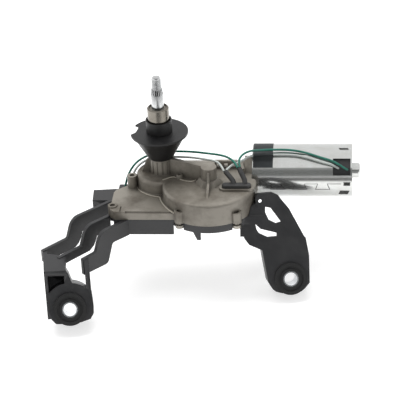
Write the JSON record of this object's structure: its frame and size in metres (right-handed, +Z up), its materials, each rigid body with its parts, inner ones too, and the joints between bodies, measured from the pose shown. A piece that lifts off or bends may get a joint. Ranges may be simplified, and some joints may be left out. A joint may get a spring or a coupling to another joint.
{
  "type": "wiper motor",
  "caption": "Rear wiper motor: cast gearbox with rubber-sealed spindle, bright round motor, coloured leads, and a black plastic bracket on two rubber-bushed feet.",
  "frame": {"origin": "on the spindle axis, in the panel face of the rubber seal's flange", "axes": "+Z up the spindle, towards the wiper arm; +X along the motor, from gearbox to brushes; the bracket's feet are towards -Y"},
  "size_m": [0.2651, 0.1644, 0.1781],
  "materials": {
    "cast_zinc": "die-cast zinc, dull warm grey with a fine cast grain",
    "cover_steel": "plain sheet steel, zinc plated",
    "tube_steel": "turned steel with a warm zinc plating",
    "bearing_bronze": "sintered bronze, matt",
    "washer_steel": "plain stamped steel",
    "seal_rubber": "black moulded rubber, dull with a soft sheen",
    "spindle_steel": "ground steel with fine turning marks",
    "gear_steel": "sintered steel, dark",
    "gear_plastic": "natural acetal, cream white",
    "grommet_rubber": "black moulded rubber",
    "yoke_steel": "rolled steel tube, bright zinc plating",
    "ferrite": "dark grey ferrite",
    "core_steel": "stacked electrical steel",
    "copper_wire": "enamelled copper wire, lacquered",
    "copper_bar": "bare copper",
    "holder_plastic": "black moulded plastic",
    "carbon": "pressed carbon",
    "screw_steel": "zinc plated steel",
    "bracket_plastic": "black glass-filled nylon, fine grain, weak sheen",
    "bush_rubber": "black rubber",
    "sleeve_steel": "bright turned steel tube",
    "green_lead": "dark green lead insulation",
    "grey_lead": "grey lead insulation"
  },
  "bodies": {
    "motor_body": {"gear_housing": "cast_zinc", "base_cover": "cover_steel", "bearing_tube": "tube_steel", "upper_bush": "bearing_bronze", "lower_bush": "bearing_bronze", "lower_thrust_washer": "washer_steel", "spindle_seal_ring": "seal_rubber", "upper_thrust_washer": "washer_steel", "wheel_axle": "spindle_steel", "axle_clip": "washer_steel", "panel_seal": "seal_rubber", "wire_grommet": "grommet_rubber", "lead_sleeve_1": "grommet_rubber", "lead_sleeve_2": "grommet_rubber", "motor_yoke": "yoke_steel", "magnets": "ferrite", "front_bush": "bearing_bronze", "worm_end_bush": "bearing_bronze", "thrust_pad": "gear_plastic", "brush_holder": "holder_plastic", "carbon_brushes": "carbon", "end_plate": "yoke_steel", "rear_bush": "bearing_bronze", "motor_screws": "screw_steel", "mounting_bracket": "bracket_plastic", "bracket_screws": "screw_steel", "left_bush": "bush_rubber", "right_bush": "bush_rubber", "left_sleeve": "sleeve_steel", "right_sleeve": "sleeve_steel", "supply_connector": "holder_plastic", "connector_blades": "copper_bar", "green_supply_lead": "green_lead", "green_motor_lead": "green_lead", "grey_supply_lead": "grey_lead", "grey_motor_lead": "grey_lead"},
    "spindle": {"wiper_spindle": "spindle_steel", "spindle_pinion": "gear_steel", "retaining_ring": "tube_steel"},
    "link": {"link_plate": "cover_steel", "link_pin": "spindle_steel"},
    "sector": {"toothed_sector": "gear_steel"},
    "armature": {"armature_shaft": "spindle_steel", "armature_core": "core_steel", "armature_windings": "copper_wire", "commutator": "copper_bar"},
    "wheel": {"worm_wheel": "gear_plastic", "crank_pin": "spindle_steel"}
  },
  "joints": [
    {"name": "spindle_swing", "type": "hinge", "parent": "motor_body", "child": "spindle", "pos_m": [0, 0, 0], "axis": [0, 0, 1], "range_deg": [-78, 31]},
    {"name": "link_swing", "type": "hinge", "parent": "motor_body", "child": "link", "pos_m": [0, 0, 0], "axis": [0, 0, 1], "range_deg": [-29.4, 11.8]},
    {"name": "sector_swing", "type": "hinge", "parent": "link", "child": "sector", "pos_m": [-0.00962, -0.02643, 0], "axis": [0, 0, 1], "range_deg": [-9.8, 24.5]},
    {"name": "armature_spin", "type": "hinge", "parent": "motor_body", "child": "armature", "pos_m": [0.1, 0.017, -0.0473], "axis": [1, 0, 0], "continuous": true},
    {"name": "wheel_spin", "type": "hinge", "parent": "motor_body", "child": "wheel", "pos_m": [0.042, -0.02, -0.045], "axis": [0, 0, 1], "continuous": true}
  ],
  "couplings": [
    {"joint": "link_swing", "follows": "spindle_swing", "ratio": 0.3757},
    {"joint": "sector_swing", "follows": "spindle_swing", "ratio": -0.31215},
    {"joint": "wheel_spin", "follows": "armature_spin", "ratio": 0.016129}
  ]
}
